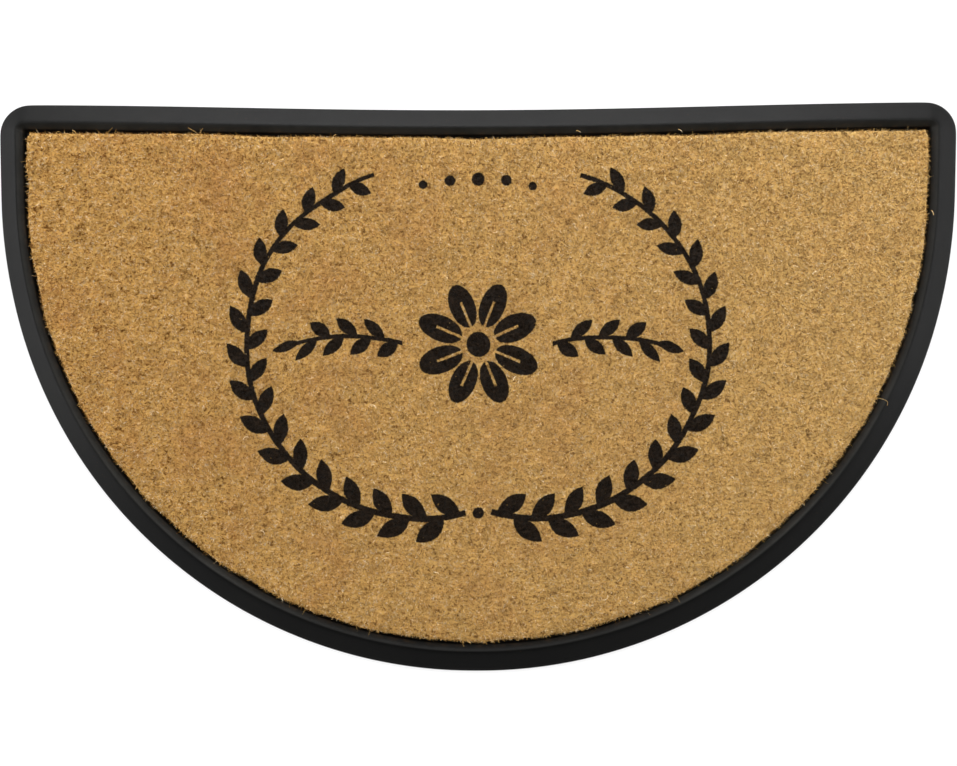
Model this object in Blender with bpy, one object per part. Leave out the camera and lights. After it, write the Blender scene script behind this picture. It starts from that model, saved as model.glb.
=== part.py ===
"""Half-moon doormat: a coir mat with a short cut pile, lying in a moulded rubber tray with a bevelled rim.

Metres, +Z up. The straight back edge is at +Y and the round front at -Y, as the mat is seen from its front.
The origin is on the floor, at the centre of the mat's box. The mat is 750 mm wide and about 445 mm deep.
"""

import math

import bmesh
import bpy

MM = 0.001

# The outline of the tray, before the rubber settles out of true. Its round front is two arcs, each of which runs
# from a straight side to the foot of the half-moon. The left one is a little tighter than the right one.
HALF_WIDTH = 372.8 * MM
DEPTH = 445.0 * MM
LEFT_RADIUS = 369.3 * MM
RIGHT_RADIUS = 371.6 * MM
OUTER_CORNER = 24.0 * MM

# How far the rubber lies out of true. Distances along Y are from the middle of the depth, towards the back.
BACK_BOW = 5.1 * MM  # the back edge sags in towards its middle
BACK_SKEW = 2.4 * MM  # the right back corner lies further back than the left one
BOW_FROM, BOW_TO = 60.0 * MM, 185.0 * MM
SIDE_FLARE = 2.6 * MM  # each side spreads towards its back corner
FLARE_FROM, FLARE_TO = 60.0 * MM, 240.0 * MM
WELL_DRIFT = (-0.85 * MM, 0.8 * MM)  # the ridge and the well lie off the outline's middle

# The tray's section.
TRAY_FLOOR = 2.0 * MM
LIP = 2.2 * MM
RIDGE_HEIGHT = 14.5 * MM
RIDGE_INSET = 16.7 * MM
WELL_EDGE_HEIGHT = 10.5 * MM
WELL_EDGE_INSET = 21.3 * MM
WELL_INSET = 21.7 * MM

# The coir mat.
SEAT_GAP = 0.3 * MM
COIR_HEIGHT = 15.2 * MM
COIR_INSET = 24.8 * MM
COIR_CORNER = 4.5 * MM
COIR_ROUNDING = 1.6 * MM
TRIM_WAVES = (  # the coir's edge is cut by hand: amplitude, waves round the mat, phase in radians
    (0.45 * MM, 23, 0.4),
    (0.30 * MM, 41, 2.1),
    (0.22 * MM, 67, 4.4),
)

# Stations round each loop.
BACK_STEPS = 32
CORNER_STEPS = 8
SIDE_STEPS = 5
FRONT_STEPS = 54  # on each of the two arcs


def smooth_step(value, start, end):
    """0 before start, 1 after end, and an S-curve between them."""
    share = min(1.0, max(0.0, (value - start) / (end - start)))
    return share * share * (3.0 - 2.0 * share)


def settled(x, y):
    """Where a point of the true half-moon lies once the rubber has settled."""
    across = x / HALF_WIDTH
    bell = (1.0 + math.cos(math.pi * min(1.0, abs(across)))) / 2.0
    out_of_line = BACK_SKEW / 2.0 * across - BACK_BOW * bell
    new_x = x + SIDE_FLARE * across * smooth_step(y, FLARE_FROM, FLARE_TO)
    new_y = y + out_of_line * smooth_step(y, BOW_FROM, BOW_TO)
    return new_x, new_y


def line(start, end, steps):
    """Points along a straight line, without its end."""
    points = []
    for step in range(steps):
        share = step / steps
        points.append((start[0] + (end[0] - start[0]) * share, start[1] + (end[1] - start[1]) * share))
    return points


def quarter(centre, radius, start_angle, steps):
    """Points along an anticlockwise quarter circle, without its end."""
    points = []
    for step in range(steps):
        angle = start_angle + math.pi / 2.0 * step / steps
        points.append((centre[0] + radius * math.cos(angle), centre[1] + radius * math.sin(angle)))
    return points


def half_moon(inset, corner):
    """Points of the true half-moon, anticlockwise from above, drawn in by inset and with that corner radius."""
    side = HALF_WIDTH - inset
    back = DEPTH / 2.0 - inset
    corner_x, corner_y = side - corner, back - corner
    left_centre = (LEFT_RADIUS - HALF_WIDTH, LEFT_RADIUS - DEPTH / 2.0)
    right_centre = (HALF_WIDTH - RIGHT_RADIUS, RIGHT_RADIUS - DEPTH / 2.0)
    points = line((corner_x, back), (-corner_x, back), BACK_STEPS)
    points += quarter((-corner_x, corner_y), corner, math.pi / 2.0, CORNER_STEPS)
    points += line((-side, corner_y), (-side, left_centre[1]), SIDE_STEPS)
    points += quarter(left_centre, LEFT_RADIUS - inset, math.pi, FRONT_STEPS)
    points += quarter(right_centre, RIGHT_RADIUS - inset, math.pi * 1.5, FRONT_STEPS)
    points += line((side, right_centre[1]), (side, corner_y), SIDE_STEPS)
    points += quarter((corner_x, corner_y), corner, 0.0, CORNER_STEPS)
    return points


def box_centre():
    """The centre of the settled outline's box, which the mat is moved to lie on."""
    outline = [settled(x, y) for x, y in half_moon(0.0, OUTER_CORNER)]
    xs = [x for x, _ in outline]
    ys = [y for _, y in outline]
    return (min(xs) + max(xs)) / 2.0, (min(ys) + max(ys)) / 2.0


CENTRE_X, CENTRE_Y = box_centre()


def add_loop(mesh, inset, height, corner, wander=None):
    """Adds one closed loop of points at that height to the mesh, and returns its vertices."""
    outline = half_moon(inset, corner)
    drift = min(1.0, inset / RIDGE_INSET)
    verts = []
    for index, (x, y) in enumerate(outline):
        if wander:
            stray = wander(index / len(outline))
            x, y = x * (1.0 - stray / HALF_WIDTH), y * (1.0 - stray / (DEPTH / 2.0))
        x, y = settled(x, y)
        x, y = x + WELL_DRIFT[0] * drift - CENTRE_X, y + WELL_DRIFT[1] * drift - CENTRE_Y
        verts.append(mesh.verts.new((x, y, height)))
    return verts


def skin(mesh, lower, upper):
    """Joins two loops with a band of quads that faces away from the mat's middle when lower is below upper."""
    count = len(lower)
    for index in range(count):
        after = (index + 1) % count
        mesh.faces.new((lower[index], lower[after], upper[after], upper[index]))


def solid_from_loops(name, rows, wander=None):
    """A closed solid whose skin runs through a loop for each row, with a flat face at each end."""
    mesh = bmesh.new()
    loops = [add_loop(mesh, inset, height, corner, wander) for _, inset, height, corner in rows]
    for lower, upper in zip(loops, loops[1:]):
        skin(mesh, lower, upper)
    mesh.faces.new(list(reversed(loops[0])))
    mesh.faces.new(loops[-1])
    bmesh.ops.recalc_face_normals(mesh, faces=mesh.faces)
    bmesh.ops.triangulate(mesh, faces=[face for face in mesh.faces if len(face.verts) > 4])
    data = bpy.data.meshes.new(name)
    mesh.to_mesh(data)
    mesh.free()
    data.shade_smooth()
    data.set_sharp_from_angle(angle=math.radians(28.0))
    made = bpy.data.objects.new(name, data)
    bpy.context.scene.collection.objects.link(made)
    return made


def finish(name, colour, roughness, metallic=0.0):
    """A plain Principled material."""
    material = bpy.data.materials.new(name)
    material.use_nodes = True
    shader = material.node_tree.nodes["Principled BSDF"]
    shader.inputs["Base Color"].default_value = (*colour, 1.0)
    shader.inputs["Roughness"].default_value = roughness
    shader.inputs["Metallic"].default_value = metallic
    return material


def trim_wander(share):
    """How far the coir's edge strays inwards, at that share of the way round."""
    return sum(size * math.sin(2.0 * math.pi * waves * share + phase) for size, waves, phase in TRIM_WAVES)


def rubber_tray():
    """The tray: a thin floor, and a rim that rises in a long ramp to a soft ridge and falls in a short bevel."""
    rows = (
        # place on the section, inset, height, corner radius
        ("underside", 0.5 * MM, 0.0, 23.5 * MM),
        ("foot", 0.0, 0.5 * MM, OUTER_CORNER),
        ("lip", 0.0, LIP, OUTER_CORNER),
        ("lip top", 0.7 * MM, LIP + 0.8 * MM, 23.3 * MM),
        ("ramp middle", 8.6 * MM, 8.9 * MM, 15.4 * MM),
        ("ramp head", RIDGE_INSET - 1.7 * MM, RIDGE_HEIGHT - 0.7 * MM, 9.0 * MM),
        ("ridge", RIDGE_INSET, RIDGE_HEIGHT, 7.0 * MM),
        ("ridge back", RIDGE_INSET + 1.0 * MM, RIDGE_HEIGHT - 0.5 * MM, 5.8 * MM),
        ("bevel foot", WELL_EDGE_INSET, WELL_EDGE_HEIGHT, 1.8 * MM),
        ("well wall", WELL_INSET, WELL_EDGE_HEIGHT - 0.8 * MM, 1.5 * MM),
        ("well floor", WELL_INSET, TRAY_FLOOR, 1.5 * MM),
    )
    tray = solid_from_loops("rubber_tray", rows)
    tray.data.materials.append(finish("black_rubber", (0.030, 0.030, 0.029), 0.62))
    return tray


def coir_mat():
    """The coir mat, from its backing to the tips of its pile. Its sheared edge is soft and a little uneven."""
    base = TRAY_FLOOR + SEAT_GAP
    rows = (
        # place on the section, inset, height, corner radius
        ("backing", COIR_INSET, base, COIR_CORNER),
        ("shoulder", COIR_INSET, COIR_HEIGHT - COIR_ROUNDING, COIR_CORNER),
        ("edge tips", COIR_INSET + 0.35 * COIR_ROUNDING, COIR_HEIGHT - 0.35 * COIR_ROUNDING, COIR_CORNER),
        ("pile top", COIR_INSET + COIR_ROUNDING, COIR_HEIGHT, COIR_CORNER),
    )
    coir = solid_from_loops("coir_mat", rows, wander=trim_wander)
    coir.data.materials.append(finish("coir_fibre", (0.43, 0.26, 0.10), 0.92))
    return coir


def main():
    for old in list(bpy.data.objects):
        bpy.data.objects.remove(old, do_unlink=True)
    rubber_tray()
    coir_mat()


main()
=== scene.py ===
"""The looks of a half-moon doormat: a printed coir pile in a moulded rubber tray.

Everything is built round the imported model. Metres, +Z up. The straight back edge is at +Y.
"""

import math

import bmesh
import bpy
import numpy as np
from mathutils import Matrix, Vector, noise


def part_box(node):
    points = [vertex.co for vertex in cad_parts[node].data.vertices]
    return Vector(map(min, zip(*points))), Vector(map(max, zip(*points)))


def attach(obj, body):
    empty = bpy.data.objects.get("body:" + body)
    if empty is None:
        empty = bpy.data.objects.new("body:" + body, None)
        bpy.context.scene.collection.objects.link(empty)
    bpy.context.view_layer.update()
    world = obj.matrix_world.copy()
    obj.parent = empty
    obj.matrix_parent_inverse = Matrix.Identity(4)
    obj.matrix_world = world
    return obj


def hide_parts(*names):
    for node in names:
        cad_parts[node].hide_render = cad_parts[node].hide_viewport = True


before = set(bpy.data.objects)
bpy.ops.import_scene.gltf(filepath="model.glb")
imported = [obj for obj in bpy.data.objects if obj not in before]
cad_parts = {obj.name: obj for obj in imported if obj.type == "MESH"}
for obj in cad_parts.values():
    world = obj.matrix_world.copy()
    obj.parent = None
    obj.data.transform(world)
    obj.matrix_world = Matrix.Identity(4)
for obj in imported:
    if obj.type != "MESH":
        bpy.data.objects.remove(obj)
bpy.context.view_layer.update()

MM = 0.001
COLLECTION = bpy.context.scene.collection

# Heights of the loops of points that the tray's section runs through, from the underside up over the rim and
# down into the well, and how sharp each one stays.
TRAY_LOOPS = (
    # height, crease
    (0.0 * MM, 1.0),
    (0.5 * MM, 0.0),
    (2.2 * MM, 0.2),
    (3.0 * MM, 0.0),
    (8.9 * MM, 0.0),
    (13.8 * MM, 0.0),
    (14.5 * MM, 0.0),
    (14.0 * MM, 0.0),
    (10.5 * MM, 0.3),
    (9.7 * MM, 0.0),
    (2.0 * MM, 1.0),
)
TRAY_SMOOTHING = 2

# The bed that the pile stands on. Its wall has loops at its foot and at two depths below its top.
PILE_LOOP = 13.6 * MM  # the height of the coir mat's own loop that gives its outline
BED_TOP = 12.2 * MM
BED_WALL_DEPTHS = (3.0 * MM, 1.0 * MM)
BED_DRAWN_IN = 0.1 * MM
BED_ASIDE = 0.35 * MM  # the mat lies a little to the right in its well
BED_BUMP = 0.45 * MM
BED_BUMP_SIZE = 5.0 * MM
BED_RINGS = 56
BED_SPLITS = 3  # stations between two of the outline's own

# The pile.
PILE_PIECES = 4
PILE_DENSITY = 850_000.0  # strands in a square metre
PILE_HEIGHT = 2.9 * MM
PILE_WIDTH = 0.86 * MM
PILE_SCATTER = 0.75  # how far a strand leans its own way, against 1 for its rise
PILE_CLUMPING = 0.9  # how far neighbours lean together
PILE_SUNK = 0.8 * MM  # how deep a strand is rooted in the bed
PILE_SEED = 100
CLUMP_SIZE = 4.5 * MM
TUFT_SIZE = 2.6 * MM  # neighbours of about one tone
HANK_SIZE = 7.0 * MM
OWN_TONE, TUFT_TONE, HANK_TONE = 0.8, 1.5, 0.7

# The fringe of strands round the cut edge of the mat.
FRINGE_DENSITY = 1_300_000.0
FRINGE_LENGTH = 1.3 * MM
FRINGE_WIDTH = 0.62 * MM
FRINGE_RISE = 2.4  # how far a strand turns up, against 1 for how far it points outwards
FRINGE_SEED = 400
WHISKER_DENSITY = 30_000.0
WHISKER_LENGTH = 3.6 * MM
WHISKER_WIDTH = 0.34 * MM
WHISKER_RISE = 0.9
WHISKER_SEED = 500
EDGE_LOWEST = 9.4 * MM
EDGE_SCATTER, EDGE_CLUMPING = 0.8, 0.8
EDGE_SUNK = 0.4 * MM
EDGE_RAGGED = 0.8 * MM  # how far the shears strayed
EDGE_RAGGED_SIZE = 11.0 * MM

# Loose fibres that lie on the pile.
LOOSE_DENSITY = 2600.0
LOOSE_RADIUS = 3.6 * MM
LOOSE_THICKNESS = 0.16 * MM
LOOSE_SWEEPS = (50.0, 130.0)  # in degrees, one for each piece
LOOSE_SEED = 700

# The camera looks straight down, with a usual lens, from where the mat's width fills the view.
LENS = 50.0
SENSOR = 36.0
CAMERA_HEIGHT = 1.0446
CAMERA_X, CAMERA_Y = 0.25 * MM, 2.75 * MM

# Colours, by their screen numbers.
DARK_FIBRE = (120, 73, 14)
STRAW_FIBRE = (212, 168, 94)
PALE_FIBRE = (252, 235, 202)
RUDDY_FIBRE = (196, 142, 78)
PAINTED_SHEEN_FIBRE = (238, 214, 150)
PAINTED_ROOT_SHADE = (36, 17, 3)
INK_DEEP = (14, 8, 2)
INK_PALE = (40, 26, 10)
RUBBER_DEEP = (12, 12, 12)
RUBBER_BLOOM = (16, 16, 15)
RUBBER_DUST_AND_BEVEL_LIGHT = (46, 45, 42)
COIR_DUST = (96, 70, 40)

# The four coir finishes. The heights, in millimetres, are those between which a strand goes from the painted
# shade at its root to its own colour. The bed's darker finish is painted shade in the gaps between the
# strands.
COIR_FINISHES = {
    # name: share of pale fibres, colour left under the painted root shade, root height, tip height
    "coir_pile": (1.0, 0.55, 12.0, 14.6),
    "coir_bed": (0.3, 0.15, 5.0, 13.6),
    "cut_edge": (1.0, 0.5, 8.0, 12.0),
    "loose_fibre": (1.0, 0.9, 12.0, 14.6),
}

# Sizes of the patterns in the finishes.
RUDDY_PATCH = 46.0 * MM
SHADE_PATCH = 8.0 * MM
BARE_SPOT = 3.0 * MM  # where the ink missed
RUBBER_BLOOM_PATCH = 70.0 * MM
DUST_PATCH = 24.0 * MM
CRUMB = 5.0 * MM
SPECK, SPECK_PATCH = 1.1 * MM, 30.0 * MM
SKIN_GRAIN, SKIN_FLOW = 0.9 * MM, 18.0 * MM

# The print, in millimetres. Angles are in radians, anticlockwise from the right.
PRINT_MIDDLE = 33.0  # how far behind the mat's middle the flower lies
PRINT_DEPTH = 11.0  # the height down to which the ink soaks the strands
PRINT_SWAY = 4.0
PRINT_FRAY = 1.4
WREATH_SPREAD = 45.0  # from the flower to the middle of a branch's circle
WREATH_RADIUS = 135.0
WREATH_START, WREATH_END = math.radians(-105.0), math.radians(75.0)
WREATH_LEAVES = 16
WREATH_PITCH = WREATH_RADIUS * (WREATH_END - WREATH_START) / WREATH_LEAVES
WREATH_LEAF = (14.6, 6.9)  # half the length and half the width of a leaf
WREATH_STEM = 2.6
WREATH_TAPER = 0.3
LEAF_TURN = math.radians(40.0)
PETAL_ANGLE = math.radians(45.0)
PETAL_REACH, PETAL_LENGTH, PETAL_WIDTH = 31.5, 17.5, 10.0
PETAL_VEIN, FLOWER_EYE = 0.9, 9.5
SPRIG_START, SPRIG_END = 58.0, 142.0
SPRIG_LEAF, SPRIG_TIP = (11.0, 4.9), (11.0, 4.4)
SPRIG_STEM, SPRIG_BOW = 1.8, 22.0
SPRIG_LEAVES = 4
SPRIG_PITCH = (SPRIG_END - SPRIG_START) / SPRIG_LEAVES
BERRIES = (
    # place across, place up from the flower, radius
    (0.0, 128.0, 5.2),
    (22.0, 127.0, 4.2),
    (42.0, 123.0, 3.4),
    (0.0, -131.0, 4.6),
)

# Fibres that were shed on the rubber or stick out over the gap: points along each, in millimetres.
SHED_FIBRES = {
    "curl_on_the_right_rim": ((308.3, -8.6, 14.4), (312.3, -9.4, 15.3), (315.9, -10.6, 15.1),
                              (317.8, -12.4, 14.6), (317.0, -14.8, 14.4)),
    "bent_over_the_left_back": ((-287.4, 195.4, 14.0), (-286.6, 197.4, 15.0), (-284.4, 199.4, 14.6),
                                (-283.4, 200.8, 14.2)),
    "leaning_over_the_left_back": ((-282.0, 195.4, 14.0), (-281.4, 197.4, 14.8), (-280.4, 199.6, 14.4)),
    "crossing_the_back_gap": ((-225.0, 200.6, 14.2), (-221.4, 199.0, 14.9), (-217.0, 195.6, 14.6)),
    "crossed_over_it": ((-215.6, 195.0, 14.4), (-215.0, 197.6, 15.0), (-213.6, 200.2, 14.2)),
    "bent_over_the_front": ((-12.6, -196.0, 13.8), (-12.2, -199.0, 14.9), (-11.4, -200.6, 14.5),
                            (-11.0, -201.6, 14.0)),
    "straight_over_the_front": ((4.4, -196.2, 13.8), (5.6, -198.4, 14.6), (7.0, -200.2, 14.2)),
}
SHED_THICKNESS = 0.10 * MM
SHED_TONE = 0.3

# The studio. Its floor is a light table, a hair below the tray.
FLOOR_SIZE = 200.0
FLOOR_DROP = 0.3 * MM
FLOOR_GLOW = 0.70
SKY = 0.08
LIGHTS = (
    # name, place, width and height, radiance
    ("left_softbox", (-1.7, 0.4, 2.0), (2.4, 2.4), 2.1),
    ("right_softbox", (1.8, 0.3, 2.0), (2.4, 2.4), 2.35),
    ("back_softbox", (0.2, 1.8, 2.0), (2.4, 1.6), 2.8),
    ("back_strip", (0.0, 0.80, 0.15), (1.0, 0.2), 11.5),
    ("left_strip", (-1.5, 0.05, 0.36), (1.3, 0.4), 9.0),
    ("right_strip", (1.5, 0.1, 0.36), (1.1, 0.4), 6.2),
)


class Field:
    """A number that changes over a surface. Python's operators add the nodes that work it out."""

    def __init__(self, nodes, socket):
        self.nodes = nodes
        self.socket = socket

    def __add__(self, other):
        return self.nodes.math("ADD", self, other)

    def __radd__(self, other):
        return self.nodes.math("ADD", other, self)

    def __sub__(self, other):
        return self.nodes.math("SUBTRACT", self, other)

    def __rsub__(self, other):
        return self.nodes.math("SUBTRACT", other, self)

    def __mul__(self, other):
        return self.nodes.math("MULTIPLY", self, other)

    def __rmul__(self, other):
        return self.nodes.math("MULTIPLY", other, self)

    def __truediv__(self, other):
        return self.nodes.math("DIVIDE", self, other)

    def __abs__(self):
        return self.nodes.math("ABSOLUTE", self)

    def above(self, other):
        return self.nodes.math("GREATER_THAN", self, other)

    def least(self, other):
        return self.nodes.math("MINIMUM", self, other)

    def most(self, other):
        return self.nodes.math("MAXIMUM", self, other)

    def wrapped(self, period):
        """What is left after whole periods, from 0 to the period, also for numbers under 0."""
        return self.nodes.math("FLOORED_MODULO", self, period)

    def clipped(self):
        """Held between 0 and 1."""
        return self.least(1.0).most(0.0)

    def ramp(self, start, end):
        """0 at start, 1 at end and straight between them."""
        return ((self - start) * (1.0 / (end - start))).clipped()


class Nodes:
    """A material's nodes, with one way to add one."""

    def __init__(self, name):
        self.material = bpy.data.materials.new(name)
        self.material.use_nodes = True
        self.tree = self.material.node_tree
        self.shader = self.tree.nodes["Principled BSDF"]
        self.where = self.add("ShaderNodeTexCoord", "Object", ())

    def add(self, kind, output, values, **settings):
        """Adds a node, sets it up, fills in its sockets and returns one of its outputs."""
        node = self.tree.nodes.new(kind)
        for key, value in settings.items():
            setattr(node, key, value)
        for key, value in values.items() if isinstance(values, dict) else enumerate(values):
            self.fill(node.inputs[key], value)
        return node.outputs[output]

    def fill(self, socket, value):
        if isinstance(value, Field):
            value = value.socket
        if isinstance(value, bpy.types.NodeSocket):
            self.tree.links.new(value, socket)
        else:
            socket.default_value = value

    def math(self, operation, *values):
        return Field(self, self.add("ShaderNodeMath", 0, values, operation=operation))

    def axes(self):
        """The place on the piece along X, Y and Z, in millimetres."""
        split = self.add("ShaderNodeSeparateXYZ", 0, (self.where,)).node
        return [Field(self, split.outputs[index]) * (1.0 / MM) for index in range(3)]

    def noise(self, size, detail=2.0, roughness=0.5, where=None):
        """Noise between 0 and 1, with features of about that size."""
        where = where or self.where
        values = {"Vector": where, "Scale": 1.0 / size, "Detail": detail, "Roughness": roughness}
        return Field(self, self.add("ShaderNodeTexNoise", "Fac", values))

    def attribute(self, name):
        return Field(self, self.add("ShaderNodeAttribute", "Fac", (), attribute_name=name))

    def blend(self, share, first, second):
        """The first colour where share is 0, and the second where it is 1."""
        return self.add("ShaderNodeMix", 2, {0: share, 6: first, 7: second}, data_type="RGBA")

    def bump(self, height, depth, strength=1.0):
        """Normals for a height that goes from 0 to 1 over that depth."""
        values = {"Height": height, "Distance": depth, "Strength": strength}
        return self.add("ShaderNodeBump", "Normal", values)

    def finish(self, values):
        for key, value in values.items():
            self.fill(self.shader.inputs[key], value)
        return self.material


def colour(red, green, blue):
    """A colour from its screen numbers, 0 to 255."""
    shares = [value / 255.0 for value in (red, green, blue)]
    linear = [share / 12.92 if share <= 0.04045 else ((share + 0.055) / 1.055) ** 2.4 for share in shares]
    return (*linear, 1.0)


def leaf(along, across, half_length, half_width):
    """Over 0 inside a leaf pointed at both ends. along runs from the leaf's middle."""
    share = along * (1.0 / half_length)
    return (1.0 - share * share) * half_width - abs(across)


def leaf_pair(along, off, pitch, count, turn, half_length, half_width, shrink):
    """Whole leaves on both sides of a stem, the far side's half a pitch on. off is from the stem."""
    far_side = off.above(0.0)
    place = along + far_side * (pitch / 2.0)
    whole = (place - far_side * pitch).least(count * pitch - place)
    step = place.wrapped(pitch) - pitch * 0.16
    off = abs(off)
    up = (step * math.cos(turn) + off * math.sin(turn)) / shrink - half_length
    side = (off * math.cos(turn) - step * math.sin(turn)) / shrink
    return (leaf(up, side, half_length, half_width) * shrink).least(whole)


def dot(x, y, centre_x, centre_y, radius):
    """Over 0 inside a round dot."""
    x, y = x - centre_x, y - centre_y
    return radius - x.nodes.math("SQRT", x * x + y * y)


def printed(nodes):
    """1 where the mat is printed: an open wreath of two leafy branches, round a flower with two sprigs."""
    x, y, _ = nodes.axes()
    sway = nodes.noise(60.0 * MM, 0.0) - 0.5
    fray = nodes.noise(1.6 * MM, 2.0) - 0.5
    x = x + sway * PRINT_SWAY
    y = y - PRINT_MIDDLE - sway * PRINT_SWAY
    side = abs(x)

    # The branch, seen from the middle of its own circle.
    from_x = side - WREATH_SPREAD
    radius = nodes.math("SQRT", from_x * from_x + y * y)
    along = (nodes.math("ARCTAN2", y, from_x) - WREATH_START) * WREATH_RADIUS
    length = (WREATH_END - WREATH_START) * WREATH_RADIUS
    off = radius - WREATH_RADIUS
    shrink = 1.0 - WREATH_TAPER * along.ramp(0.0, length)
    within = along.least(length - along)
    stem = (WREATH_STEM * shrink - abs(off)).least(within)
    leaves = leaf_pair(along, off, WREATH_PITCH, WREATH_LEAVES, LEAF_TURN, *WREATH_LEAF, shrink)
    ink = stem.most(leaves)

    # The flower.
    radius = nodes.math("SQRT", x * x + y * y)
    angle = nodes.math("ARCTAN2", y, x).wrapped(PETAL_ANGLE) - PETAL_ANGLE / 2.0
    out = (radius * nodes.math("COSINE", angle) - PETAL_REACH) * (1.0 / PETAL_LENGTH)
    over = radius * nodes.math("SINE", angle) * (1.0 / PETAL_WIDTH)
    petals = (1.0 - out * out - over * over) * 7.0
    vein = abs(over * PETAL_WIDTH) - PETAL_VEIN
    petals = petals.least(vein.most(out * PETAL_LENGTH - 3.0))
    ink = ink.most(petals).most(FLOWER_EYE - radius)

    # The sprigs on either side of the flower.
    reach = (side - SPRIG_START) * (1.0 / (SPRIG_END - SPRIG_START))
    off = y - SPRIG_BOW * reach * (1.0 - reach)
    within = (side - SPRIG_START).least(SPRIG_END - side)
    stem = (SPRIG_STEM - abs(off)).least(within)
    leaves = leaf_pair(side - SPRIG_START, off, SPRIG_PITCH, SPRIG_LEAVES, LEAF_TURN, *SPRIG_LEAF, 1.0)
    tip = leaf(side - SPRIG_END - 7.0, off, *SPRIG_TIP)
    ink = ink.most(stem).most(leaves).most(tip)

    # Berries that close the wreath at its top and its foot.
    for centre_x, centre_y, size in BERRIES:
        ink = ink.most(dot(side, y, centre_x, centre_y, size))
    return (ink + fray * PRINT_FRAY).ramp(-0.25, 0.35)


def coir_finish(name):
    """Coir fibre, with painted shade darker towards its root, a painted sheen whiter towards the right, and
    the print on its upper part.
    """
    pale, deep, root_height, tip_height = COIR_FINISHES[name]
    nodes = Nodes(name)
    across, _, height = nodes.axes()
    tone = nodes.attribute("tone") * OWN_TONE + (1.0 - OWN_TONE) / 2.0
    tone = tone + (nodes.noise(TUFT_SIZE, 1.0) - 0.5) * TUFT_TONE
    tone = tone + (nodes.noise(HANK_SIZE, 1.0) - 0.5) * HANK_TONE
    dull, straw, bright = colour(*DARK_FIBRE), colour(*STRAW_FIBRE), colour(*PALE_FIBRE)
    fibre = nodes.blend(tone.ramp(0.04, 0.34), dull, straw)
    fibre = nodes.blend(tone.ramp(0.66, 1.05) * pale, fibre, bright)
    patches = nodes.noise(RUDDY_PATCH, 3.0, 0.6).ramp(0.48, 0.74) * (0.6 - 0.4 * across.ramp(-250.0, 250.0))
    fibre = nodes.blend(patches, fibre, colour(*RUDDY_FIBRE))
    # Painted sheen: the fibres go whiter towards the right, as if lit from that side.
    fibre = nodes.blend(across.ramp(-280.0, 320.0) * 0.2, fibre, colour(*PAINTED_SHEEN_FIBRE))
    # Painted shade: each strand darkens towards its root, where the pile around it shades it.
    lit = height.ramp(root_height, tip_height)
    shade = deep + (1.0 - deep) * lit
    shade = shade * (0.76 + 0.48 * nodes.noise(SHADE_PATCH, 2.0))
    fibre = nodes.blend(shade, colour(*PAINTED_ROOT_SHADE), fibre)
    ink = printed(nodes) * height.ramp(PRINT_DEPTH - 1.0, PRINT_DEPTH)
    ink = ink * (1.0 - 0.8 * nodes.noise(BARE_SPOT, 1.0).ramp(0.76, 0.82))
    black = nodes.blend(tone.clipped(), colour(*INK_DEEP), colour(*INK_PALE))
    return nodes.finish({
        "Base Color": nodes.blend(ink, fibre, black),
        "Roughness": 0.7 - 0.1 * ink,
        "Specular IOR Level": 0.2,
    })


def rubber_finish():
    """Black moulded rubber: a fine skin, a soft bloom, and coir dust where the well meets the rim.
    The dust also serves as painted light on the inner bevel, with painted shade at its front middle.
    """
    nodes = Nodes("moulded_black_rubber")
    across, back, _ = nodes.axes()
    section = nodes.attribute("section")
    bloom = nodes.noise(RUBBER_BLOOM_PATCH, 3.0, 0.6).ramp(0.35, 0.75)
    skin = nodes.blend(bloom, colour(*RUBBER_DEEP), colour(*RUBBER_BLOOM))
    # Coir dust on the inner bevel: partly real dust, partly painted light that brightens the bevel.
    dust_and_bevel_light = section.ramp(0.56, 0.68) * (0.5 + 0.5 * nodes.noise(DUST_PATCH, 3.0, 0.6).ramp(0.3, 0.7))
    # Painted shade: less of the light bevel colour at the front middle, where the bevel lies in shade; less
    # also at the far ends.
    painted_front_shade = back.ramp(-120.0, -200.0) * abs(across).ramp(260.0, 100.0)
    dust_and_bevel_light = dust_and_bevel_light * (1.0 - 0.75 * painted_front_shade) * (1.0 - 0.3 * abs(across).ramp(290.0, 350.0))
    skin = nodes.blend(dust_and_bevel_light * 0.75, skin, colour(*RUBBER_DUST_AND_BEVEL_LIGHT))
    coir = section.ramp(0.72, 0.80) * nodes.noise(CRUMB, 3.0, 0.65).ramp(0.45, 0.7)
    specks = nodes.noise(SPECK, 1.0).ramp(0.72, 0.8) * nodes.noise(SPECK_PATCH, 2.0).ramp(0.4, 0.7)
    skin = nodes.blend((coir * 0.14).most(specks * 0.4), skin, colour(*COIR_DUST))
    grain = nodes.noise(SKIN_GRAIN, 2.0, 0.6)
    flow = nodes.noise(SKIN_FLOW, 2.0, 0.5)
    return nodes.finish({
        "Base Color": skin,
        "Roughness": 0.38 + 0.10 * flow + 0.08 * grain,
        "Normal": nodes.bump(grain + 2.0 * flow, 0.10 * MM, 0.5),
        "Specular IOR Level": 0.08,
    })


def floor_finish():
    """A plain pale studio floor."""
    nodes = Nodes("studio_floor")
    tint = nodes.blend(nodes.noise(0.4, 2.0), (0.29, 0.29, 0.29, 1.0), (0.31, 0.31, 0.31, 1.0))
    glow = (1.0, 1.0, 1.0, 1.0)
    return nodes.finish({
        "Base Color": tint, "Roughness": 0.9, "Specular IOR Level": 0.1,
        "Emission Color": glow, "Emission Strength": FLOOR_GLOW,
    })


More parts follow.
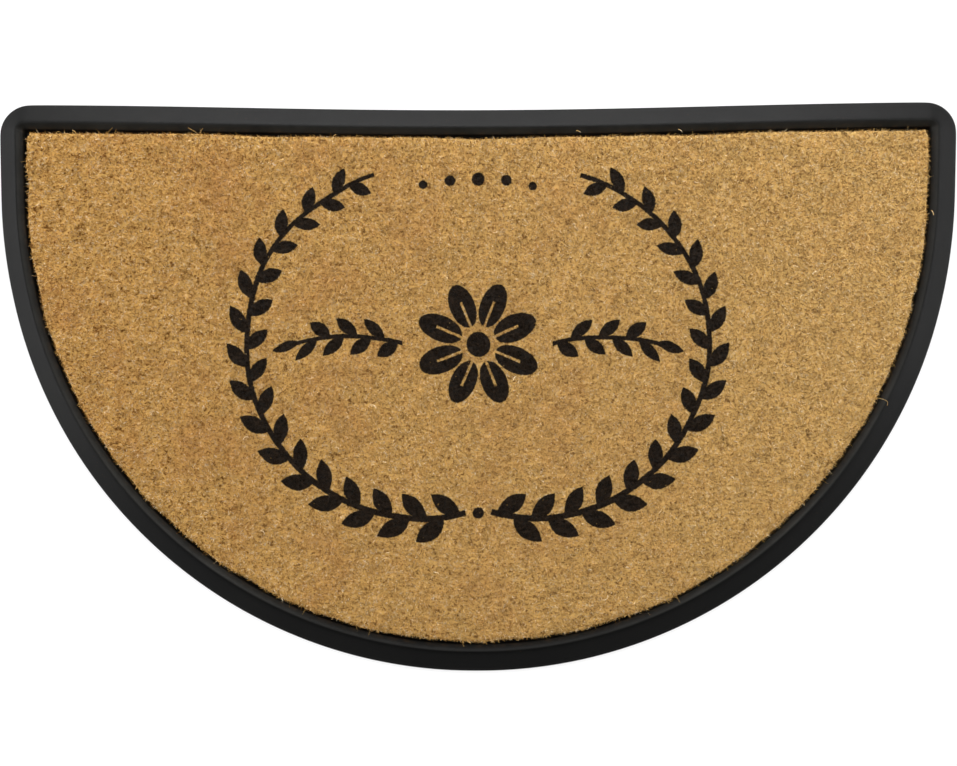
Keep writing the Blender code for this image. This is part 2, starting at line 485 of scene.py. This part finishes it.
class Recipe:
    """A tree of geometry nodes with named inputs."""

    def __init__(self, name, inputs):
        self.tree = bpy.data.node_groups.new(name, "GeometryNodeTree")
        sockets = self.tree.interface
        sockets.new_socket("Geometry", in_out="INPUT", socket_type="NodeSocketGeometry")
        self.named = {}
        for label, kind in inputs:
            made = sockets.new_socket(label, in_out="INPUT", socket_type="NodeSocket" + kind)
            self.named[label] = made.identifier
        sockets.new_socket("Geometry", in_out="OUTPUT", socket_type="NodeSocketGeometry")
        self.inputs = self.tree.nodes.new("NodeGroupInput").outputs
        self.result = self.tree.nodes.new("NodeGroupOutput").inputs[0]

    def add(self, kind, values, **settings):
        """Adds a node, sets it up, fills in its sockets and returns its outputs."""
        node = self.tree.nodes.new(kind)
        for key, value in settings.items():
            setattr(node, key, value)
        for key, value in values.items():
            if isinstance(value, bpy.types.NodeSocket):
                self.tree.links.new(value, node.inputs[key])
            else:
                node.inputs[key].default_value = value
        return node.outputs

    def math(self, operation, *values):
        return self.add("ShaderNodeMath", dict(enumerate(values)), operation=operation)[0]

    def vector(self, operation, *values):
        return self.add("ShaderNodeVectorMath", dict(enumerate(values)), operation=operation)[0]

    def scaled(self, vector, size):
        return self.add("ShaderNodeVectorMath", {0: vector, "Scale": size}, operation="SCALE")[0]

    def random(self, low, high, seed):
        """A random number, which is new at each point."""
        values = {2: low, 3: high, "Seed": seed}
        return self.add("FunctionNodeRandomValue", values, data_type="FLOAT")[1]

    def random_vector(self, low, high, seed):
        values = {0: low, 1: high, "Seed": seed}
        return self.add("FunctionNodeRandomValue", values, data_type="FLOAT_VECTOR")[0]

    def end(self, instances, tone):
        """Gives each instance its tone, then makes them real and gives them their material."""
        toned = self.add(
            "GeometryNodeStoreNamedAttribute",
            {"Geometry": instances, "Name": "tone", "Value": tone},
            data_type="FLOAT", domain="INSTANCE",
        )[0]
        real = self.add("GeometryNodeRealizeInstances", {0: toned})[0]
        values = {"Geometry": real, "Material": self.inputs["Material"]}
        ready = self.add("GeometryNodeSetMaterial", values)[0]
        self.tree.links.new(ready, self.result)

    def make(self, name, source, values):
        """Runs the tree on a copy of the source's mesh and returns the result as a new plain piece."""
        carrier = bpy.data.objects.new(name + "_carrier", source.data)
        COLLECTION.objects.link(carrier)
        modifier = carrier.modifiers.new("recipe", "NODES")
        modifier.node_group = self.tree
        for label, value in values.items():
            modifier[self.named[label]] = value
        seen = carrier.evaluated_get(bpy.context.evaluated_depsgraph_get())
        mesh = bpy.data.meshes.new_from_object(seen)
        carrier.modifiers.remove(modifier)
        bpy.data.objects.remove(carrier, do_unlink=True)
        mesh.name = name
        return placed(name, mesh)


def placed(name, mesh):
    made = bpy.data.objects.new(name, mesh)
    COLLECTION.objects.link(made)
    return made


def strand_recipe():
    """Pointed strands on the top or the wall of the bed, between two places along X."""
    recipe = Recipe("strands", (
        ("From", "Float"), ("To", "Float"), ("Wall", "Float"), ("Density", "Float"), ("Length", "Float"),
        ("Width", "Float"), ("Rise", "Float"), ("Scatter", "Float"), ("Clump", "Float"), ("Sink", "Float"),
        ("Lowest", "Float"), ("Seed", "Int"), ("Material", "Material"),
    ))
    given = recipe.inputs
    place = recipe.add("GeometryNodeInputPosition", {})[0]
    facing = recipe.add("GeometryNodeInputNormal", {})[0]
    along = recipe.add("ShaderNodeSeparateXYZ", {0: place})
    facing_up = recipe.add("ShaderNodeSeparateXYZ", {0: facing})["Z"]
    in_band = recipe.math(
        "MULTIPLY", recipe.math("GREATER_THAN", along["X"], given["From"]),
        recipe.math("LESS_THAN", along["X"], given["To"]),
    )
    in_band = recipe.math("MULTIPLY", in_band, recipe.math("GREATER_THAN", along["Z"], given["Lowest"]))
    top = recipe.math("GREATER_THAN", facing_up, 0.5)
    wall = recipe.math("LESS_THAN", recipe.math("ABSOLUTE", facing_up), 0.5)
    wanted = recipe.add("ShaderNodeMix", {0: given["Wall"], 2: top, 3: wall}, data_type="FLOAT")[0]
    points = recipe.add(
        "GeometryNodeDistributePointsOnFaces",
        {
            "Mesh": given["Geometry"], "Selection": recipe.math("MULTIPLY", in_band, wanted),
            "Density": given["Density"], "Seed": given["Seed"],
        },
    )
    # Each strand points along its face's normal, up, its clump's way and its own random way, all added up.
    way = recipe.add("ShaderNodeCombineXYZ", {"Z": given["Rise"]})[0]
    way = recipe.vector("ADD", way, recipe.scaled(points["Normal"], given["Wall"]))
    values = {"Vector": place, "Scale": 1.0 / CLUMP_SIZE, "Detail": 1.0}
    swirl = recipe.add("ShaderNodeTexNoise", values)["Color"]
    swirl = recipe.vector("SUBTRACT", swirl, (0.5, 0.5, 0.5))
    way = recipe.vector("ADD", way, recipe.scaled(swirl, given["Clump"]))
    own = recipe.random_vector((-1.0, -1.0, -0.15), (1.0, 1.0, 0.15), given["Seed"])
    way = recipe.vector("ADD", way, recipe.scaled(own, given["Scatter"]))
    stretch = recipe.add("ShaderNodeVectorMath", {0: way}, operation="LENGTH")["Value"]
    seed = recipe.math("ADD", given["Seed"], 11.0)
    length = recipe.math("MULTIPLY", recipe.math("MULTIPLY", given["Length"], stretch),
                         recipe.random(0.78, 1.1, seed))
    seed = recipe.math("ADD", given["Seed"], 23.0)
    width = recipe.math("MULTIPLY", given["Width"], recipe.random(0.6, 1.3, seed))
    size = recipe.add("ShaderNodeCombineXYZ", {"X": width, "Y": width, "Z": length})[0]
    seed = recipe.math("ADD", given["Seed"], 37.0)
    spin = recipe.add("ShaderNodeCombineXYZ", {"Z": recipe.random(0.0, 2.0 * math.pi, seed)})[0]
    turn = recipe.add("FunctionNodeAlignRotationToVector", {"Rotation": spin, "Vector": way}, axis="Z")[0]
    down = recipe.scaled(way, recipe.math("MULTIPLY", given["Sink"], -1.0))
    sunk = recipe.add("GeometryNodeSetPosition", {"Geometry": points["Points"], "Offset": down})[0]
    spike = recipe.add(
        "GeometryNodeMeshCone",
        {"Vertices": 3, "Radius Top": 0.0, "Radius Bottom": 0.5, "Depth": 1.0}, fill_type="NGON",
    )["Mesh"]
    strands = recipe.add(
        "GeometryNodeInstanceOnPoints", {"Points": sunk, "Instance": spike, "Rotation": turn, "Scale": size},
    )[0]
    seed = recipe.math("ADD", given["Seed"], 51.0)
    recipe.end(strands, recipe.random(0.0, 1.0, seed))
    return recipe


def loose_recipe():
    """Bent fibres that lie on the pile."""
    recipe = Recipe("loose_fibres", (
        ("Density", "Float"), ("Radius", "Float"), ("Sweep", "Float"), ("Thickness", "Float"),
        ("Lift", "Float"), ("Seed", "Int"), ("Material", "Material"),
    ))
    given = recipe.inputs
    facing = recipe.add("GeometryNodeInputNormal", {})[0]
    facing_up = recipe.add("ShaderNodeSeparateXYZ", {0: facing})["Z"]
    points = recipe.add(
        "GeometryNodeDistributePointsOnFaces",
        {
            "Mesh": given["Geometry"], "Selection": recipe.math("GREATER_THAN", facing_up, 0.5),
            "Density": given["Density"], "Seed": given["Seed"],
        },
    )["Points"]
    lifted = recipe.add(
        "GeometryNodeSetPosition",
        {"Geometry": points, "Offset": recipe.add("ShaderNodeCombineXYZ", {"Z": given["Lift"]})[0]},
    )[0]
    arc = recipe.add(
        "GeometryNodeCurveArc", {"Resolution": 7, "Radius": given["Radius"], "Sweep Angle": given["Sweep"]},
    )["Curve"]
    values = {"Resolution": 3, "Radius": given["Thickness"]}
    section = recipe.add("GeometryNodeCurvePrimitiveCircle", values)["Curve"]
    fibre = recipe.add(
        "GeometryNodeCurveToMesh", {"Curve": arc, "Profile Curve": section, "Fill Caps": True},
    )[0]
    turn = recipe.random_vector((-0.3, -0.3, 0.0), (0.3, 0.3, 2.0 * math.pi), given["Seed"])
    size = recipe.random(0.6, 1.4, recipe.math("ADD", given["Seed"], 5.0))
    fibres = recipe.add(
        "GeometryNodeInstanceOnPoints",
        {"Points": lifted, "Instance": fibre, "Rotation": turn, "Scale": size},
    )[0]
    recipe.end(fibres, recipe.random(0.35, 1.0, recipe.math("ADD", given["Seed"], 9.0)))
    return recipe


def loop_at(node, height):
    """The node's own points at that height, anticlockwise from the middle of the front."""
    points = np.array([tuple(vertex.co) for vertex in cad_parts[node].data.vertices])
    points = np.unique(points[np.abs(points[:, 2] - height) < 0.05 * MM].round(7), axis=0)
    turn = np.arctan2(points[:, 1], points[:, 0]) + math.radians(91.0)
    return points[np.argsort(turn % (2.0 * math.pi))]


def band(mesh, lower, upper):
    """Joins two loops of vertices with quads, and returns them."""
    faces = []
    for index, vertex in enumerate(lower):
        after = (index + 1) % len(lower)
        faces.append(mesh.faces.new((vertex, lower[after], upper[after], upper[index])))
    return faces


def rubber_tray():
    """The tray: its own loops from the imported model, with the moulding's soft edges."""
    mesh = bmesh.new()
    crease = mesh.edges.layers.float.new("crease_edge")
    section = mesh.verts.layers.float.new("section")
    loops = []
    for index, (height, _) in enumerate(TRAY_LOOPS):
        loop = [mesh.verts.new(point) for point in loop_at("rubber_tray", height)]
        for vertex in loop:
            vertex[section] = index / (len(TRAY_LOOPS) - 1)
        if loops:
            band(mesh, loops[-1], loop)
        loops.append(loop)
    mesh.faces.new(list(reversed(loops[0])))
    mesh.faces.new(loops[-1])
    for loop, (_, sharpness) in zip(loops, TRAY_LOOPS):
        for index, vertex in enumerate(loop):
            mesh.edges.get((vertex, loop[(index + 1) % len(loop)]))[crease] = sharpness
    bmesh.ops.recalc_face_normals(mesh, faces=mesh.faces)
    data = bpy.data.meshes.new("tray")
    mesh.to_mesh(data)
    mesh.free()
    data.shade_smooth()
    rough = placed("tray_rough", data)
    smooth = rough.modifiers.new("moulding", "SUBSURF")
    smooth.levels = smooth.render_levels = TRAY_SMOOTHING
    seen = rough.evaluated_get(bpy.context.evaluated_depsgraph_get())
    tray = placed("moulded_tray", bpy.data.meshes.new_from_object(seen))
    bpy.data.objects.remove(rough, do_unlink=True)
    tray.data.materials.append(rubber_finish())
    return tray


def pile_bed():
    """The dense lower part of the pile and the backing below it, as one uneven slab."""
    outline = loop_at("coir_mat", PILE_LOOP)
    shares = np.arange(BED_SPLITS) / BED_SPLITS
    steps = np.roll(outline, -1, axis=0) - outline
    outline = (outline[:, None] + steps[:, None] * shares[:, None]).reshape(-1, 3)
    outline[:, 0] += BED_ASIDE
    middle = outline.mean(axis=0)
    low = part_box("coir_mat")[0][2]
    mesh = bmesh.new()

    ragged = np.array([noise.noise(Vector(point) / EDGE_RAGGED_SIZE) for point in outline]) * EDGE_RAGGED

    def loop(inset, height):
        share = 1.0 - (inset + ragged) / np.linalg.norm(outline[:, :2] - middle[:2], axis=1)
        flat = middle + (outline - middle) * share[:, None]
        return [mesh.verts.new((x, y, height)) for x, y, _ in flat]

    def bumpy(vertex):
        bump = noise.noise(vertex.co / BED_BUMP_SIZE) + 0.5 * noise.noise(vertex.co / BED_BUMP_SIZE * 2.3)
        vertex.co.z += BED_BUMP * bump

    loops = [loop(0.0, low)] + [loop(0.0, BED_TOP - depth) for depth in BED_WALL_DEPTHS]
    rim = np.linalg.norm(outline[:, :2] - middle[:2], axis=1)
    for ring in range(BED_RINGS):
        inset = BED_DRAWN_IN + (rim - BED_DRAWN_IN - EDGE_RAGGED) * (ring / BED_RINGS)
        loops.append(loop(inset, BED_TOP))
        for vertex in loops[-1]:
            bumpy(vertex)
    for lower, upper in zip(loops, loops[1:]):
        band(mesh, lower, upper)
    peak = mesh.verts.new((middle[0], middle[1], BED_TOP))
    for index, vertex in enumerate(loops[-1]):
        mesh.faces.new((vertex, loops[-1][(index + 1) % len(outline)], peak))
    mesh.faces.new(list(reversed(loops[0])))
    bmesh.ops.recalc_face_normals(mesh, faces=mesh.faces)
    tone = mesh.verts.layers.float.new("tone")
    for vertex in mesh.verts:
        vertex[tone] = 0.5 + 0.5 * noise.noise(vertex.co / (1.5 * MM))
    data = bpy.data.meshes.new("coir_bed")
    mesh.to_mesh(data)
    mesh.free()
    data.shade_smooth()
    return placed("coir_bed", data)


def shed_fibres(finish):
    """The few loose fibres on the rubber, as thin round curves made one mesh."""
    curves = bpy.data.curves.new("shed_fibres", "CURVE")
    curves.dimensions = "3D"
    curves.bevel_depth = SHED_THICKNESS
    curves.bevel_resolution = 0
    curves.use_fill_caps = True
    curves.resolution_u = 4
    for points in SHED_FIBRES.values():
        spline = curves.splines.new("NURBS")
        spline.points.add(len(points) - 1)
        for point, place in zip(spline.points, points):
            point.co = (*(value * MM for value in place), 1.0)
        spline.use_endpoint_u = True
        spline.order_u = 3
    rough = placed("shed_rough", curves)
    seen = rough.evaluated_get(bpy.context.evaluated_depsgraph_get())
    shed = placed("shed_fibres", bpy.data.meshes.new_from_object(seen))
    bpy.data.objects.remove(rough, do_unlink=True)
    tone = shed.data.attributes.new("tone", "FLOAT", "POINT")
    tone.data.foreach_set("value", np.full(len(shed.data.vertices), SHED_TONE, np.float32))
    shed.data.materials.clear()
    shed.data.materials.append(finish)
    return shed


def lay_out_strands(piece, faces_each):
    """Gives each strand its own small square of the map that its colours are kept in."""
    mesh = piece.data
    count = len(mesh.polygons) // faces_each
    across = math.ceil(math.sqrt(count))
    strand = np.arange(len(mesh.polygons)) // faces_each
    part = np.arange(len(mesh.polygons)) % faces_each
    sizes = np.zeros(len(mesh.polygons), np.int32)
    mesh.polygons.foreach_get("loop_total", sizes)
    corner = np.concatenate([np.arange(size) for size in sizes])
    strand, part = np.repeat(strand, sizes), np.repeat(part, sizes)
    turn = 2.0 * math.pi * corner / np.repeat(sizes, sizes)
    wide = math.ceil(math.sqrt(faces_each))
    inner_x = (part % wide + 0.5 + 0.42 * np.cos(turn)) / wide
    inner_y = (part // wide + 0.5 + 0.42 * np.sin(turn)) / wide
    spots = np.stack([(strand % across + inner_x) / across, (strand // across + inner_y) / across], 1)
    layer = mesh.uv_layers.new(name="OFBake", do_init=False)
    layer.uv.foreach_set("vector", spots.astype(np.float32).ravel())


def lay_the_bed():
    """The bed in the tray, with its finish, in place of the coir mat's own solid, which is hidden. Returns
    it with the area of its top.
    """
    bed = pile_bed()
    bed.data.materials.append(coir_finish("coir_bed"))
    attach(bed, "root")
    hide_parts("coir_mat")
    flat_area = sum(face.area for face in bed.data.polygons if face.normal.z > 0.5)
    return bed, flat_area


def equal_bands(bed, flat_area):
    """Places along X that part the top of the bed into bands of about one area."""
    low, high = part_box("coir_mat")
    tops = [face for face in bed.data.polygons if face.normal.z > 0.5]
    tops.sort(key=lambda face: face.center.x)
    total, edges, part = 0.0, [low[0] - 1.0 * MM], flat_area / PILE_PIECES
    for face in tops:
        total += face.area
        if total > part * len(edges) and len(edges) < PILE_PIECES:
            edges.append(face.center.x)
    edges.append(high[0] + 1.0 * MM)
    return edges


def grow_the_pile(strands, bed, edges, finish):
    for index, (start, end) in enumerate(zip(edges, edges[1:])):
        piece = strands.make(f"coir_pile_{index + 1}", bed, {
            "From": start, "To": end, "Wall": 0.0, "Density": PILE_DENSITY,
            "Length": PILE_HEIGHT + PILE_SUNK, "Width": PILE_WIDTH, "Rise": 1.0,
            "Scatter": PILE_SCATTER, "Clump": PILE_CLUMPING,
            "Sink": PILE_SUNK, "Lowest": 0.0, "Seed": PILE_SEED + index, "Material": finish,
        })
        lay_out_strands(piece, 4)
        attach(piece, "root")


def grow_the_edge(strands, bed):
    """The fringe and the whiskers on the bed's wall."""
    low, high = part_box("coir_mat")
    finish = coir_finish("cut_edge")
    for name, density, length, width, rise, seed in (
        ("cut_edge_fringe", FRINGE_DENSITY, FRINGE_LENGTH, FRINGE_WIDTH, FRINGE_RISE, FRINGE_SEED),
        ("edge_whiskers", WHISKER_DENSITY, WHISKER_LENGTH, WHISKER_WIDTH, WHISKER_RISE, WHISKER_SEED),
    ):
        piece = strands.make(name, bed, {
            "From": low[0] - 1.0, "To": high[0] + 1.0, "Wall": 1.0, "Density": density,
            "Length": length, "Width": width, "Rise": rise, "Scatter": EDGE_SCATTER, "Clump": EDGE_CLUMPING,
            "Sink": EDGE_SUNK, "Lowest": EDGE_LOWEST, "Seed": seed, "Material": finish,
        })
        lay_out_strands(piece, 4)
        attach(piece, "root")


def scatter_loose_fibres(bed, finish):
    """Wide and then tight curls. The tight ones are half as many and smaller."""
    loose = loose_recipe()
    for index, sweep in enumerate(LOOSE_SWEEPS):
        piece = loose.make(f"loose_fibres_{index + 1}", bed, {
            "Density": LOOSE_DENSITY / (1 + index), "Radius": LOOSE_RADIUS / (1 + 0.6 * index),
            "Sweep": math.radians(sweep), "Thickness": LOOSE_THICKNESS, "Lift": PILE_HEIGHT - 0.2 * MM,
            "Seed": LOOSE_SEED + index, "Material": finish,
        })
        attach(piece, "root")


def main():
    stage_the_view()
    tray = rubber_tray()
    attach(tray, "root")
    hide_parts("rubber_tray")

    pile_look = coir_finish("coir_pile")
    bed, flat_area = lay_the_bed()
    strands = strand_recipe()
    grow_the_pile(strands, bed, equal_bands(bed, flat_area), pile_look)
    grow_the_edge(strands, bed)
    fibre_look = coir_finish("loose_fibre")
    scatter_loose_fibres(bed, fibre_look)

    shed = shed_fibres(fibre_look)
    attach(shed, "root")


def stage_the_view():
    """The camera, the floor and the studio's lights."""
    camera = bpy.data.objects.new("camera", bpy.data.cameras.new("camera"))
    COLLECTION.objects.link(camera)
    camera.data.lens = LENS
    camera.data.sensor_width = SENSOR
    camera.location = (CAMERA_X, CAMERA_Y, CAMERA_HEIGHT)
    bpy.context.scene.camera = camera
    bpy.context.scene.view_settings.view_transform = "Standard"

    bpy.ops.mesh.primitive_plane_add(size=FLOOR_SIZE, location=(0.0, 0.0, -FLOOR_DROP))
    floor = bpy.context.object
    floor.name = "studio_floor"
    floor.data.materials.append(floor_finish())

    world = bpy.data.worlds.new("studio")
    bpy.context.scene.world = world
    world.use_nodes = True
    world.node_tree.nodes["Background"].inputs["Color"].default_value = (1.0, 1.0, 1.0, 1.0)
    world.node_tree.nodes["Background"].inputs["Strength"].default_value = SKY
    for name, place, size, radiance in LIGHTS:
        light = bpy.data.lights.new(name, "AREA")
        light.shape = "RECTANGLE"
        light.size, light.size_y = size
        light.energy = radiance * math.pi * size[0] * size[1]
        lamp = bpy.data.objects.new(name, light)
        COLLECTION.objects.link(lamp)
        lamp.location = place
        lamp.visible_camera = False
        lamp.rotation_euler = (-Vector(place)).to_track_quat("-Z", "Y").to_euler()


main()
